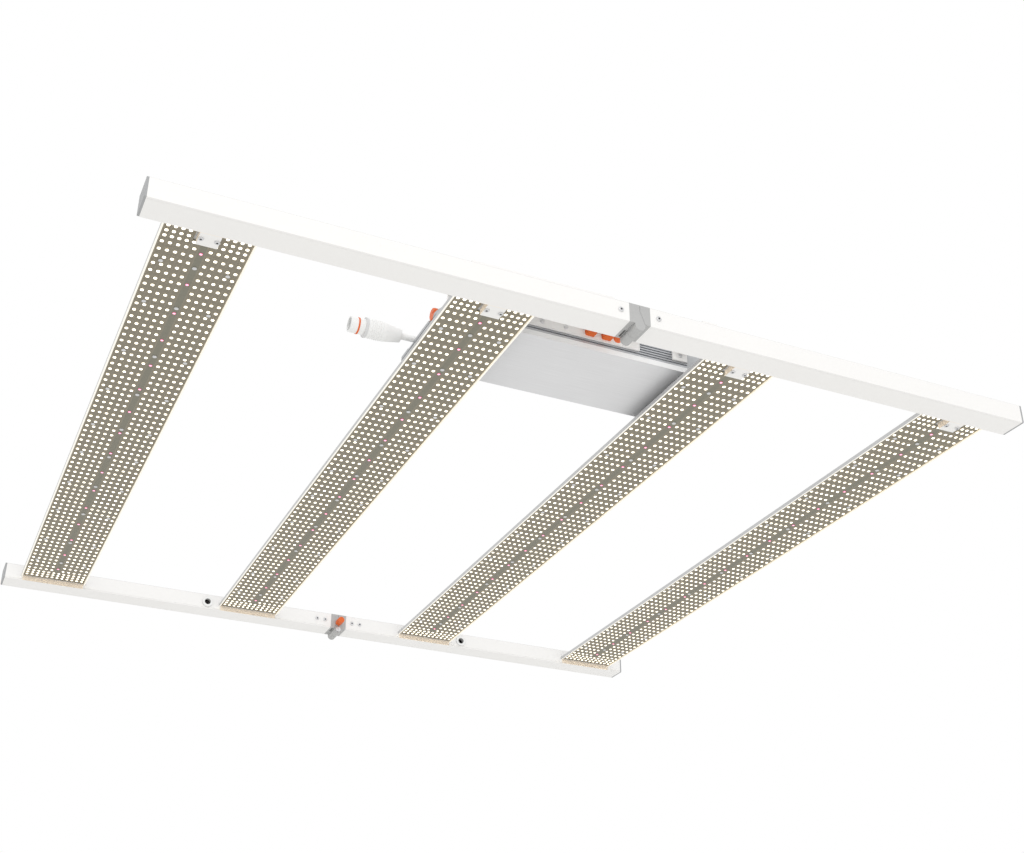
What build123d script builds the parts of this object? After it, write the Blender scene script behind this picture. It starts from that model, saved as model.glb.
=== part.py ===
from build123d import *
import math
import os

# Folding LED grow light: two rails, each cut in two at a hinge, carry four light bars, and one
# driver sits on the near rail of the left half. The right half folds down under the left one.
# Origin: centre of the four hanger holes, on the rails' top faces. +X along the rails, +Y from the
# driver's rail (near) to the other rail (far), +Z up. The LEDs shine down. Millimetres.

# Frame
frame_length = 1100.0
frame_depth = 1092.0
rail_width = 36.0
rail_height = 24.5
rail_wall = 1.6
rail_lip = 3.2
rail_edge_round = 1.0
cover_thick = 1.5
cover_leg_thick = 1.2
cover_leg_height = 1.4
end_cap_thick = 2.5
end_cap_plug = 6.0
hanger_end = 200.0          # hanger holes from the rails' ends
hanger_hole_r = 3.25
slip = 0.15                 # between a piece and the one it is pushed into
screw_slip = 0.05           # around a screw in its tapped hole

# Hinge
hinge_gap = 26.7            # between the two halves of a rail
hinge_drop = 2.0            # hinge axis below the rails' bottom
barrel_r = 6.5
seam_straight = 8.5         # upright part of the seam between the leaves
leaf_play = 0.35            # between the two leaves
tongue_length = 42.0
tongue_height = 17.0
pin_r = 2.5
pin_run = 0.05              # radial running clearance
pin_head_r = 4.2
pin_head_thick = 1.8
pin_socket_r = 1.2
pin_blind = 3.0             # wall left at the pin's blind end
slot_width = 2.4
slot_inboard = 26.0
slot_length = 15.0
slot_depth = 5.0

# Latch in each hinge
latch_z = -14.5
latch_pin_r = 1.5
latch_travel = 4.0
latch_boss_r = 4.0
latch_boss_length = 11.0
latch_bore_r = 2.75
latch_end_wall = 1.5
latch_collar_r = 2.6
latch_collar_thick = 2.0
latch_knob_r = 5.3
latch_knob_length = 17.0
latch_knob_end = 4.0
latch_knob_gap = 0.6        # knob's rim to the leaf
spring_wire_r = 0.3
spring_r = 2.2
spring_pitch = 1.8
spring_gap = 0.05

# Light bars
bar_end = 75.4              # outer bars' middle from the rails' ends
board_width = 93.5
board_thick = 1.6
board_height = 7.8          # board's LED face above the rails' bottom
board_end_gap = 2.1         # board's end to the rail
bar_end_gap = 0.3           # heatsink's end to the rail
sink_base = 2.0
sink_lip = 2.2
sink_lip_drop = 1.5         # lip below the board's face
fin_count = 9
fin_pitch = 9.0
fin_thick = 1.4
fin_height = 8.0
fin_end_gap = 40.0
notch_width = 27.0
notch_length = 27.0

# LEDs and board screws
red_count = 16
red_end_gap = 45.9          # last red LED from the board's end
led_size = 3.5
led_height = 0.9
led_row_pitch = 14.0
board_screw_end = 73.9      # last screw row from the board's end
board_screw_shares = (1.0, 0.8, 0.55, 0.32, 0.1)    # rows' places, the last row's being 1
board_screw_side = 35.8
board_screw_r = 1.4
board_screw_head_r = 2.6
board_screw_head = 1.2

# Bar brackets, bushings and frame screws
tab_width = 22.5
tab_length = 22.0
tab_screw_spacing = 17.0
tab_screw_y = 10.1          # from the rail
tab_screw_head = 1.3
tab_rail_screw_z = -18.5
tab_rail_screw_spacing = 12.0
angle_width = 60.0
angle_length = 24.0
angle_thick = 2.5
angle_height = 10.0
angle_screw_spacing = 40.0
angle_screw_y = 14.0
angle_screw_z = -6.5
screw_r = 2.0
screw_head_r = 3.2
screw_head = 1.6
screw_reach = 8.0
tapped_depth = 12.0
rail_screw_head_r = 2.8     # smaller heads, in the rail and on the driver
hinge_screw_x = 24.0
hinge_screw_step = 14.0
hinge_screw_z = -12.0
bushing_x = 227.0
bushing_z = -13.0
bushing_r = 7.0
bushing_bore_r = 5.0
bushing_flange_r = 8.8
bushing_flange = 2.0
bushing_inside = 4.0

# Driver
driver_gap = 70.0           # near rail's inner face to the driver
driver_depth = 122.0
driver_height = 40.0
driver_body = 252.0
driver_length = 402.0
base_thick = 2.5
base_lip = 7.0
base_lip_thick = 2.0
side_wall = 3.0
groove_depth = 2.2
groove_pitch = 3.4
groove_width = 1.7
end_wall = 3.0
end_flat = 24.0             # level part of an end cover's top
end_edge = 4.0              # height of an end cover's outer edge
end_corner_r = 8.0

# Driver's fittings
lead_place = 84.0           # from the driver's near side
lead_z = 12.0
lead_r = 4.0
lead_length = 49.0
gland_x = -143.0
gland_r = 8.0
gland_stem_r = 5.6
gland_thick = 3.0
gland_inside = 8.0
relief_length = 20.0
relief_r = 7.0
relief_end_r = 4.8
entry_width = 22.0
knob_place = 20.0           # from the driver's near side
knob_z = 8.5
knob_r = 7.5
knob_length = 14.0
knob_seat_x = -186.2
knob_seat_r = 9.5
knob_shaft_r = 3.0
knob_shaft_length = 7.0
knob_play = 0.4
knob_mark_width = 1.2
knob_mark_depth = 0.6
port_x = (-8.5, 13.5)
port_z = 20.5
port_width = 9.0
port_height = 6.0
port_depth = 14.0
socket_margin = 2.0
socket_gap = 1.0            # socket's face behind the housing's wall
cap_width = 12.5
cap_height = 8.5
cap_thick = 8.0
cap_corner_r = 2.0

# Driver bracket and rest
sheet = 2.5
bracket_start = -190.0
bracket_end = 59.0
bracket_rise = 27.5
bracket_flange = 14.0
bracket_screw_z = 20.5
bracket_foot_edge = 4.0     # foot's edge from the rail's outer face
rest_x = 115.0
rest_width = 20.0
rest_gap = 0.3
bracket_screw_x = (-110.0, -71.0, -40.0, 42.0)
foot_screw_x = (-170.0, -120.0, -72.0)
bracket_screw_depth = 6.0
foot_screw_past = 3.0       # foot screws' tips inside the rail

# Inside of the driver
circuit_margin = 10.0
circuit_stand = 4.0
circuit_thick = 1.6
stand_r = 3.0
stand_x = 100.0
stand_side = 38.0
core_x = 45.0
core_side = 8.0
core_sizes = (46.0, 42.0, 24.0)
winding_sizes = (30.0, 50.0, 18.0)
capacitor_x = (-30.0, -54.0, -78.0)
capacitor_side = 12.0
capacitor_r = 10.0
capacitor_height = 25.0

# Plug on the input lead, from its rear to its front
plug_boot = 20.0
plug_boot_r = 8.0
plug_body = 22.0
plug_body_r = 11.5
plug_collar = 3.0
plug_collar_r = 12.2
plug_nose = 18.0
plug_nose_r = 9.5
plug_nose_wall = 1.5
plug_seal_back = 10.0       # seal's middle from the nose's front
plug_seal_width = 1.8
plug_seal_r = 10.0
plug_seal_depth = 0.6
plug_recess = 8.0
contact_r = 1.2
contact_circle = 4.5
contact_depth = 5.0

# Places worked out from the sizes
inner_y = frame_depth / 2 - rail_width
half_gap = hinge_gap / 2
hanger_x = frame_length / 2 - hanger_end
bar_pitch = (frame_length - 2 * bar_end) / 3
rail_end = frame_length / 2 - end_cap_thick
axis_z = -rail_height - hinge_drop
board_face_z = -rail_height + board_height
board_top_z = board_face_z + board_thick
sink_top_z = board_top_z + sink_base
sink_width = board_width + 2 * (sink_lip + slip)
sink_half = inner_y - bar_end_gap
board_half = inner_y - board_end_gap
cover_top_z = -rail_height + cover_thick
tongue_top_z = -rail_wall - slip
driver_near = driver_gap - inner_y
driver_far = driver_near + driver_depth
driver_mid = (driver_near + driver_far) / 2
housing_half = driver_body / 2
driver_half = driver_length / 2
lead_y = driver_near + lead_place
knob_y = driver_near + knob_place
red_pitch = 2 * (board_half - red_end_gap) / (red_count - 1)

sides = {"left": -1, "right": 1}
ends = {"near": -1, "far": 1}
bars = {1: -1.5 * bar_pitch, 2: -0.5 * bar_pitch, 3: 0.5 * bar_pitch, 4: 1.5 * bar_pitch}
bar_side = {1: "left", 2: "left", 3: "right", 4: "right"}
parts = {}


def rail_y(side, inboard):
    """Y of a point that lies inboard of the outer face of the near (-1) or far (+1) rail."""
    return side * (frame_depth / 2 - inboard)


def screw(head_centre, direction, head_r, head, shank_r, shank):
    """Pan head screw: its head's underside is at head_centre, its shank points along direction."""
    with BuildPart() as one:
        with BuildSketch(Plane(origin=head_centre, z_dir=direction)):
            Circle(shank_r)
        extrude(amount=shank)
        with BuildSketch(Plane(origin=head_centre, z_dir=direction)):
            Circle(head_r)
        extrude(amount=-head)
        fillet(one.edges().group_by(Axis(head_centre, direction))[0], head * 0.5)
    return one.part


def drill(centre, direction, radius, length):
    """Cut a round hole from centre along direction out of the part being built."""
    with BuildSketch(Plane(origin=centre, z_dir=direction)) as hole:
        Circle(radius)
    extrude(hole.sketch, amount=length, mode=Mode.SUBTRACT)


def keep(name, part):
    """Label a finished piece and put it on the list to be written."""
    part.label = name
    parts[name] = part


# Rails: aluminium channels, open below, with a lip along the outer bottom edge.
for side, sx in sides.items():
    for end, sy in ends.items():
        with BuildPart() as rail:
            with BuildSketch(Plane.YZ.offset(sx * half_gap)) as channel:
                with BuildLine():
                    Polyline(
                        (rail_y(sy, 0), 0),
                        (rail_y(sy, rail_width), 0),
                        (rail_y(sy, rail_width), cover_top_z + slip),
                        (rail_y(sy, rail_width - rail_wall), cover_top_z + slip),
                        (rail_y(sy, rail_width - rail_wall), -rail_wall),
                        (rail_y(sy, rail_wall), -rail_wall),
                        (rail_y(sy, rail_wall), cover_top_z),
                        (rail_y(sy, rail_lip), cover_top_z),
                        (rail_y(sy, rail_lip), -rail_height),
                        (rail_y(sy, 0), -rail_height),
                        close=True,
                    )
                make_face()
                fillet(channel.vertices().group_by(Axis.Y)[-1], rail_edge_round)
            extrude(amount=sx * (rail_end - half_gap))
            drill((sx * hanger_x, rail_y(sy, rail_width / 2), 0), (0, 0, -1), hanger_hole_r, rail_wall)
            outer_screw = (sx * hinge_screw_x, rail_y(sy, 0), hinge_screw_z)
            drill(outer_screw, (0, -sy, 0), screw_r + slip, rail_wall)
            for step in (0, hinge_screw_step):
                inner_screw = (sx * (hinge_screw_x + step), rail_y(sy, rail_width), hinge_screw_z)
                drill(inner_screw, (0, sy, 0), screw_r + slip, rail_wall)
            bushing_centre = (sx * bushing_x, rail_y(sy, rail_width), bushing_z)
            drill(bushing_centre, (0, sy, 0), bushing_r + slip, rail_wall)
            for number, bar_x in bars.items():
                if bar_side[number] != side:
                    continue
                spacing = tab_rail_screw_spacing if sy < 0 else angle_screw_spacing
                height = tab_rail_screw_z if sy < 0 else angle_screw_z
                for offset_x in (-spacing / 2, spacing / 2):
                    hole = (bar_x + offset_x, rail_y(sy, rail_width), height)
                    drill(hole, (0, sy, 0), screw_r + slip, rail_wall)
            if sy < 0 and sx < 0:
                for x in foot_screw_x:
                    drill((x, rail_y(sy, rail_width / 2), 0), (0, 0, -1), screw_r + slip, rail_wall)
        keep(f"rail_{end}_{side}", rail.part)

# Rail covers: flat strips that close the channels from below, each with two clip legs.
for side, sx in sides.items():
    for end, sy in ends.items():
        with BuildPart() as cover:
            with BuildSketch(Plane.YZ.offset(sx * half_gap)):
                with BuildLine():
                    first_leg = rail_lip + 2 * slip
                    last_leg = rail_width - rail_wall - slip
                    leg_top = cover_top_z + cover_leg_height
                    Polyline(
                        (rail_y(sy, rail_lip + slip), -rail_height),
                        (rail_y(sy, rail_width), -rail_height),
                        (rail_y(sy, rail_width), cover_top_z),
                        (rail_y(sy, last_leg), cover_top_z),
                        (rail_y(sy, last_leg), leg_top),
                        (rail_y(sy, last_leg - cover_leg_thick), leg_top),
                        (rail_y(sy, last_leg - cover_leg_thick), cover_top_z),
                        (rail_y(sy, first_leg + cover_leg_thick), cover_top_z),
                        (rail_y(sy, first_leg + cover_leg_thick), leg_top),
                        (rail_y(sy, first_leg), leg_top),
                        (rail_y(sy, first_leg), cover_top_z),
                        (rail_y(sy, rail_lip + slip), cover_top_z),
                        close=True,
                    )
                make_face()
            extrude(amount=sx * (rail_end - half_gap))
        keep(f"rail_cover_{end}_{side}", cover.part)

# End caps: moulded plates whose plugs sit inside the channels, one at each rail's outer end.
plug_top_z = -rail_wall - slip
plug_bottom_z = cover_top_z + cover_leg_height + slip
for side, sx in sides.items():
    with BuildPart() as caps:
        for sy in ends.values():
            with BuildSketch(Plane.YZ.offset(sx * rail_end)) as plate:
                with Locations((rail_y(sy, rail_width / 2), -rail_height / 2)):
                    Rectangle(rail_width, rail_height)
                fillet(plate.vertices(), rail_edge_round)
            extrude(amount=sx * end_cap_thick)
            with BuildSketch(Plane.YZ.offset(sx * rail_end)):
                with Locations((rail_y(sy, rail_width / 2), (plug_top_z + plug_bottom_z) / 2)):
                    Rectangle(rail_width - 2 * (rail_wall + slip), plug_top_z - plug_bottom_z)
            extrude(amount=-sx * end_cap_plug)
    keep(f"end_caps_{side}", caps.part)


def knuckle(body_side):
    """Section of a leaf over its knuckle half: body on one side, lobe reaching under the other leaf."""
    reach = -axis_z - seam_straight
    turn = math.acos(barrel_r / reach)
    with BuildSketch() as section:
        with BuildLine():
            Polyline(
                (body_side * half_gap, 0),
                (0, 0),
                (0, -seam_straight),
                (-body_side * barrel_r * math.sin(turn), axis_z + barrel_r * math.cos(turn)),
                (0, axis_z),
                (body_side * barrel_r, axis_z),
                (body_side * barrel_r, -rail_height),
                (body_side * half_gap, -rail_height),
                close=True,
            )
        make_face()
        with Locations((0, axis_z)):
            Circle(barrel_r)
    return section.sketch


def relief(body_side):
    """Section of a leaf over the other leaf's knuckle half: cut back to clear that knuckle."""
    with BuildSketch() as section:
        with Locations((body_side * half_gap / 2, -rail_height / 2)):
            Rectangle(half_gap, rail_height)
        add(offset(knuckle(-body_side), leaf_play, mode=Mode.PRIVATE), mode=Mode.SUBTRACT)
    return section.sketch


# Hinge leaves: cast zinc. A left leaf has its knuckle at the rail's outer side, a right leaf at the
# inner side. Each has a tongue inside its rail. The latch's boss stands on the right leaf.
half_width = rail_width / 2 - slip
for side, sx in sides.items():
    for end, sy in ends.items():
        outer_half = knuckle(sx) if sx < 0 else relief(sx)
        inner_half = relief(sx) if sx < 0 else knuckle(sx)
        outer_y = rail_y(sy, 0)
        middle_y = rail_y(sy, rail_width / 2)
        inner_face_y = rail_y(sy, rail_width)
        with BuildPart() as leaf:
            with BuildSketch(Plane.XZ.offset(-outer_y)):
                add(outer_half)
            extrude(amount=sy * half_width)
            with BuildSketch(Plane.XZ.offset(-inner_face_y)):
                add(inner_half)
            extrude(amount=-sy * half_width)
            with BuildSketch(Plane.XZ.offset(-middle_y)):
                with Locations((sx * half_gap / 2 + sx * half_gap / 4, -rail_height / 2)):
                    Rectangle(half_gap / 2, rail_height)
            extrude(amount=slip, both=True)
            with BuildSketch(Plane.YZ.offset(sx * half_gap)):
                with Locations((middle_y, tongue_top_z - tongue_height / 2)):
                    Rectangle(rail_width - 2 * (rail_wall + slip), tongue_height)
            extrude(amount=sx * tongue_length)
            if sx > 0:
                with BuildSketch(Plane(origin=(0, inner_face_y, latch_z), z_dir=(0, -sy, 0))):
                    Circle(latch_boss_r)
                extrude(amount=latch_boss_length)
                drill((0, middle_y, latch_z), (0, -sy, 0), latch_pin_r + pin_run, rail_width)
                spring_room = latch_boss_length - latch_end_wall
                drill((0, inner_face_y, latch_z), (0, -sy, 0), latch_bore_r, spring_room)
                drill((0, middle_y, axis_z), (0, -sy, 0), pin_r + pin_run, rail_width)
            else:
                hole_depth = latch_travel + 2 * slip
                drill((0, middle_y, latch_z), (0, sy, 0), latch_pin_r + slip, hole_depth + slip)
                drill((0, middle_y, axis_z), (0, sy, 0), pin_r + screw_slip, rail_width / 2 - pin_blind)
                slot_y = rail_y(sy, slot_inboard)
                slot_x = -barrel_r - slot_width
                with BuildSketch(Plane.XY.offset(-rail_height)):
                    with Locations((slot_x, slot_y)):
                        Rectangle(slot_width, slot_length)
                extrude(amount=slot_depth, mode=Mode.SUBTRACT)
            tapped_r = screw_r + screw_slip
            place = (sx * hinge_screw_x, outer_y, hinge_screw_z)
            drill(place, (0, -sy, 0), tapped_r, tapped_depth)
            for step in (0, hinge_screw_step):
                place = (sx * (hinge_screw_x + step), inner_face_y, hinge_screw_z)
                drill(place, (0, sy, 0), tapped_r, tapped_depth)
        keep(f"hinge_leaf_{end}_{side}", leaf.part)

# Hinge pins: pressed into the left leaves, running in the right ones, heads at the inner side.
for end, sy in ends.items():
    head_y = rail_y(sy, rail_width + slip)
    reach = rail_width - pin_blind
    with BuildPart() as hinge_pin:
        with BuildSketch(Plane(origin=(0, head_y, axis_z), z_dir=(0, sy, 0))):
            Circle(pin_r)
        extrude(amount=reach)
        with BuildSketch(Plane(origin=(0, head_y, axis_z), z_dir=(0, -sy, 0))):
            Circle(pin_head_r)
        extrude(amount=pin_head_thick)
        drill((0, head_y - sy * pin_head_thick, axis_z), (0, sy, 0), pin_socket_r, pin_head_thick)
    keep(f"hinge_pin_{end}", hinge_pin.part)

# Latches: a pin with a collar, pushed outwards by a spring in the boss and pulled by a knob.
for end, sy in ends.items():
    away = (0, -sy, 0)
    tip_y = rail_y(sy, rail_width / 2 + slip)
    face_y = rail_y(sy, rail_width)
    knob_start_y = face_y - sy * latch_knob_gap
    knob_end_y = knob_start_y - sy * latch_knob_length
    tail = abs(knob_end_y - tip_y) - latch_knob_end / 2
    with BuildPart() as latch_pin:
        with BuildSketch(Plane(origin=(0, tip_y, latch_z), z_dir=away)):
            Circle(latch_pin_r)
        extrude(amount=tail)
        with BuildSketch(Plane(origin=(0, face_y - sy * slip, latch_z), z_dir=away)):
            Circle(latch_collar_r)
        extrude(amount=latch_collar_thick)
    keep(f"latch_pin_{end}", latch_pin.part)

    with BuildPart() as latch_knob:
        with BuildSketch(Plane(origin=(0, knob_start_y, latch_z), z_dir=away)):
            Circle(latch_knob_r)
        extrude(amount=latch_knob_length)
        rim = latch_knob.edges().filter_by(GeomType.CIRCLE).group_by(Axis.Y)[-1 if sy < 0 else 0]
        fillet(rim, 1.0)
        cup = latch_knob_length - latch_knob_end
        drill((0, knob_start_y, latch_z), away, latch_boss_r + slip, cup)
        drill((0, knob_start_y, latch_z), away, latch_pin_r + screw_slip, cup + latch_knob_end / 2)
    keep(f"latch_knob_{end}", latch_knob.part)

    spring_start = slip + latch_collar_thick + spring_wire_r + spring_gap
    spring_length = latch_boss_length - latch_end_wall - spring_wire_r - spring_gap - spring_start
    start_y = face_y - sy * spring_start
    with BuildPart() as latch_spring:
        with BuildLine() as coil:
            middle = (0, start_y, latch_z)
            Helix(spring_pitch, spring_length, spring_r, center=middle, direction=away)
        wire = coil.wires()[0]
        with BuildSketch(Plane(origin=wire @ 0, z_dir=wire % 0)):
            Circle(spring_wire_r)
        sweep(path=wire)
    keep(f"latch_spring_{end}", latch_spring.part)

# Light bars: an extruded heatsink with lips that hold the LED board, which is screwed up into it.
# The near end of each board has a notch for the bracket's tab.
screw_points = []
for share in board_screw_shares:
    row = round(share * (board_half - board_screw_end) / led_row_pitch)
    for x in (-board_screw_side, 0, board_screw_side):
        screw_points += [(x, -row * led_row_pitch), (x, row * led_row_pitch)]
for number, bar_x in bars.items():
    with BuildPart() as heatsink:
        with BuildSketch(Plane.XY.offset(board_top_z)):
            with Locations((bar_x, 0)):
                Rectangle(sink_width, 2 * sink_half)
        extrude(amount=sink_base)
        with BuildSketch(Plane.XY.offset(board_face_z - sink_lip_drop)):
            for edge in (-1, 1):
                with Locations((bar_x + edge * (sink_width - sink_lip) / 2, 0)):
                    Rectangle(sink_lip, 2 * sink_half)
        extrude(amount=sink_lip_drop + board_thick)
        with BuildSketch(Plane.XY.offset(sink_top_z)):
            with Locations((bar_x, 0)):
                with GridLocations(fin_pitch, 1, fin_count, 1):
                    Rectangle(fin_thick, 2 * (sink_half - fin_end_gap))
        extrude(amount=fin_height)
        with BuildSketch(Plane.XY.offset(board_top_z)):
            with Locations(*[(bar_x + x, y) for x, y in screw_points]):
                Circle(board_screw_r + screw_slip)
        extrude(amount=sink_base, mode=Mode.SUBTRACT)
        with BuildSketch(Plane.XY.offset(board_top_z)):
            with Locations((bar_x, -inner_y + tab_screw_y)):
                with GridLocations(tab_screw_spacing, 1, 2, 1):
                    Circle(screw_r + screw_slip)
            with Locations((bar_x, inner_y - angle_screw_y)):
                with GridLocations(angle_screw_spacing, 1, 2, 1):
                    Circle(screw_r + screw_slip)
        extrude(amount=sink_base, mode=Mode.SUBTRACT)
    keep(f"heatsink_{number}", heatsink.part)

    with BuildPart() as board:
        with BuildSketch(Plane.XY.offset(board_face_z)):
            with Locations((bar_x, 0)):
                Rectangle(board_width, 2 * board_half)
            with Locations((bar_x, -board_half + (notch_length - board_end_gap) / 2)):
                Rectangle(notch_width, notch_length - board_end_gap, mode=Mode.SUBTRACT)
            with Locations(*[(bar_x + x, y) for x, y in screw_points]):
                Circle(board_screw_r + slip, mode=Mode.SUBTRACT)
        extrude(amount=board_thick)
    keep(f"led_board_{number}", board.part)

# Red LEDs, board screws, bar brackets, frame screws and cable bushings, a group for each half.
for side, sx in sides.items():
    own_bars = [x for number, x in bars.items() if bar_side[number] == side]

    with BuildPart() as red_leds:
        with BuildSketch(Plane.XY.offset(board_face_z)):
            for bar_x in own_bars:
                with Locations((bar_x, 0)):
                    with GridLocations(1, red_pitch, 1, red_count):
                        Rectangle(led_size, led_size)
        extrude(amount=-led_height)
    keep(f"red_leds_{side}", red_leds.part)

    shank = board_thick + sink_base
    board_screw = screw(
        (0, 0, 0), (0, 0, 1), board_screw_head_r, board_screw_head, board_screw_r, shank
    )
    with BuildPart() as board_screws:
        places = [(bar_x + x, y, board_face_z) for bar_x in own_bars for x, y in screw_points]
        with Locations(*places):
            add(board_screw)
    keep(f"board_screws_{side}", board_screws.part)

    with BuildPart() as brackets:
        for bar_x in own_bars:
            with BuildSketch(Plane.XY.offset(-rail_height)):
                with Locations((bar_x, -inner_y + tab_length / 2)):
                    Rectangle(tab_width, tab_length)
                with Locations((bar_x, -inner_y + tab_screw_y)):
                    with GridLocations(tab_screw_spacing, 1, 2, 1):
                        Circle(screw_r + slip, mode=Mode.SUBTRACT)
            extrude(amount=board_top_z + rail_height)
            for offset_x in (-tab_rail_screw_spacing / 2, tab_rail_screw_spacing / 2):
                start = (bar_x + offset_x, -inner_y, tab_rail_screw_z)
                drill(start, (0, 1, 0), screw_r + screw_slip, screw_reach)
            with BuildSketch(Plane.XY.offset(sink_top_z)):
                with Locations((bar_x, inner_y - angle_length / 2)):
                    Rectangle(angle_width, angle_length)
                with Locations((bar_x, inner_y - angle_screw_y)):
                    with GridLocations(angle_screw_spacing, 1, 2, 1):
                        Circle(screw_r + slip, mode=Mode.SUBTRACT)
            extrude(amount=angle_thick)
            with BuildSketch(Plane.XY.offset(sink_top_z)):
                with Locations((bar_x, inner_y - angle_thick / 2)):
                    Rectangle(angle_width, angle_thick)
            extrude(amount=angle_height)
            for offset_x in (-angle_screw_spacing / 2, angle_screw_spacing / 2):
                start = (bar_x + offset_x, inner_y, angle_screw_z)
                drill(start, (0, -1, 0), screw_r + slip, angle_thick)
    keep(f"bar_brackets_{side}", brackets.part)

    with BuildPart() as screws:
        for sy in ends.values():
            head = (sx * hinge_screw_x, rail_y(sy, 0), hinge_screw_z)
            add(screw(head, (0, -sy, 0), screw_head_r, screw_head, screw_r, screw_reach))
            for step in (0, hinge_screw_step):
                head = (sx * (hinge_screw_x + step), rail_y(sy, rail_width), hinge_screw_z)
                add(screw(head, (0, sy, 0), screw_head_r, screw_head, screw_r, screw_reach))
        for bar_x in own_bars:
            for offset_x in (-tab_screw_spacing / 2, tab_screw_spacing / 2):
                head = (bar_x + offset_x, -inner_y + tab_screw_y, -rail_height)
                reach = sink_top_z + rail_height
                add(screw(head, (0, 0, 1), screw_head_r, tab_screw_head, screw_r, reach))
            for offset_x in (-tab_rail_screw_spacing / 2, tab_rail_screw_spacing / 2):
                head = (bar_x + offset_x, -inner_y - rail_wall, tab_rail_screw_z)
                add(screw(head, (0, 1, 0), rail_screw_head_r, screw_head, screw_r, screw_reach))
            for offset_x in (-angle_screw_spacing / 2, angle_screw_spacing / 2):
                head = (bar_x + offset_x, inner_y - angle_screw_y, sink_top_z + angle_thick)
                reach = angle_thick + sink_base
                add(screw(head, (0, 0, -1), screw_head_r, screw_head, screw_r, reach))
                head = (bar_x + offset_x, inner_y - angle_thick, angle_screw_z)
                add(screw(head, (0, 1, 0), screw_head_r, screw_head, screw_r, screw_reach))
    keep(f"frame_screws_{side}", screws.part)

    with BuildPart() as bushings:
        for sy in ends.values():
            face = (sx * bushing_x, rail_y(sy, rail_width), bushing_z)
            with BuildSketch(Plane(origin=face, z_dir=(0, -sy, 0))):
                Circle(bushing_flange_r)
                Circle(bushing_bore_r, mode=Mode.SUBTRACT)
            extrude(amount=bushing_flange)
            with BuildSketch(Plane(origin=face, z_dir=(0, sy, 0))):
                Circle(bushing_r)
                Circle(bushing_bore_r, mode=Mode.SUBTRACT)
            extrude(amount=rail_wall + bushing_inside)
    keep(f"cable_bushings_{side}", bushings.part)

# Driver base: the brushed bottom plate of the driver, with a lip along each side.
with BuildPart() as driver_base:
    with BuildSketch(Plane.YZ.offset(-housing_half)):
        with Locations((driver_mid, base_thick / 2)):
            Rectangle(driver_depth, base_thick)
        for edge in (-1, 1):
            with Locations((driver_mid + edge * (driver_depth - base_lip_thick) / 2, base_lip / 2)):
                Rectangle(base_lip_thick, base_lip)
    extrude(amount=driver_body)
keep("driver_base", driver_base.part)

# Driver housing: extruded cover with a grooved cooling surface on both sides and ribs on top.
with BuildPart() as driver_housing:
    wall_depth = driver_depth - 2 * (base_lip_thick + slip)
    with BuildSketch(Plane.YZ.offset(-housing_half)):
        with Locations((driver_mid, (base_thick + driver_height) / 2)):
            Rectangle(wall_depth, driver_height - base_thick)
        with Locations((driver_mid, (base_lip + slip + driver_height) / 2)):
            Rectangle(driver_depth, driver_height - base_lip - slip)
        room_height = driver_height - side_wall - base_thick
        with Locations((driver_mid, base_thick + room_height / 2)):
            Rectangle(wall_depth - 2 * side_wall, room_height, mode=Mode.SUBTRACT)
        groove_count = int((driver_height - base_lip - 2 * groove_width) / groove_pitch)
        for edge in (-1, 1):
            for level in range(groove_count):
                groove_z = base_lip + slip + groove_pitch * (level + 1)
                with Locations((driver_mid + edge * (driver_depth - groove_depth) / 2, groove_z)):
                    Rectangle(groove_depth, groove_width, mode=Mode.SUBTRACT)
        rib_count = int(driver_depth / (2 * groove_pitch)) - 2
        with Locations((driver_mid, driver_height + groove_depth / 2)):
            with GridLocations(2 * groove_pitch, 1, rib_count, 1):
                Rectangle(groove_width, groove_depth)
    extrude(amount=driver_body)
    for x in port_x:
        with BuildSketch(Plane.XZ.offset(-driver_near)):
            with Locations((x, port_z)):
                Rectangle(port_width + 2 * slip, port_height + 2 * slip)
        extrude(amount=-(groove_depth + side_wall + socket_gap), mode=Mode.SUBTRACT)
    for x in bracket_screw_x + (rest_x,):
        drill((x, driver_near, bracket_screw_z), (0, 1, 0), screw_r + screw_slip, bracket_screw_depth)
keep("driver_housing", driver_housing.part)


def end_cover(side, inset):
    """End cover's outline as a solid, drawn in by inset on every face but the one at the housing."""
    start = side * housing_half
    flat = side * (housing_half + end_flat - inset / 2)
    tip = side * (driver_half - inset * 1.5)
    with BuildPart(mode=Mode.PRIVATE) as outline:
        with BuildSketch(Plane.XZ.offset(-(driver_near + inset))):
            with BuildLine():
                Polyline(
                    (start, inset),
                    (tip, inset),
                    (tip, end_edge if inset == 0 else inset + 0.5),
                    (flat, driver_height - inset),
                    (start, driver_height - inset),
                    close=True,
                )
            make_face()
        extrude(amount=-(driver_depth - 2 * inset))
        if inset == 0:
            tips = outline.edges().filter_by(Axis.Z).group_by(Axis.X)[-1 if side > 0 else 0]
            fillet(tips, end_corner_r)
    return outline.part


# Right end cover: cast shell, open towards the housing.
with BuildPart() as driver_end_right:
    add(end_cover(1, 0))
    add(end_cover(1, end_wall), mode=Mode.SUBTRACT)
keep("driver_end_right", driver_end_right.part)

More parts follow.
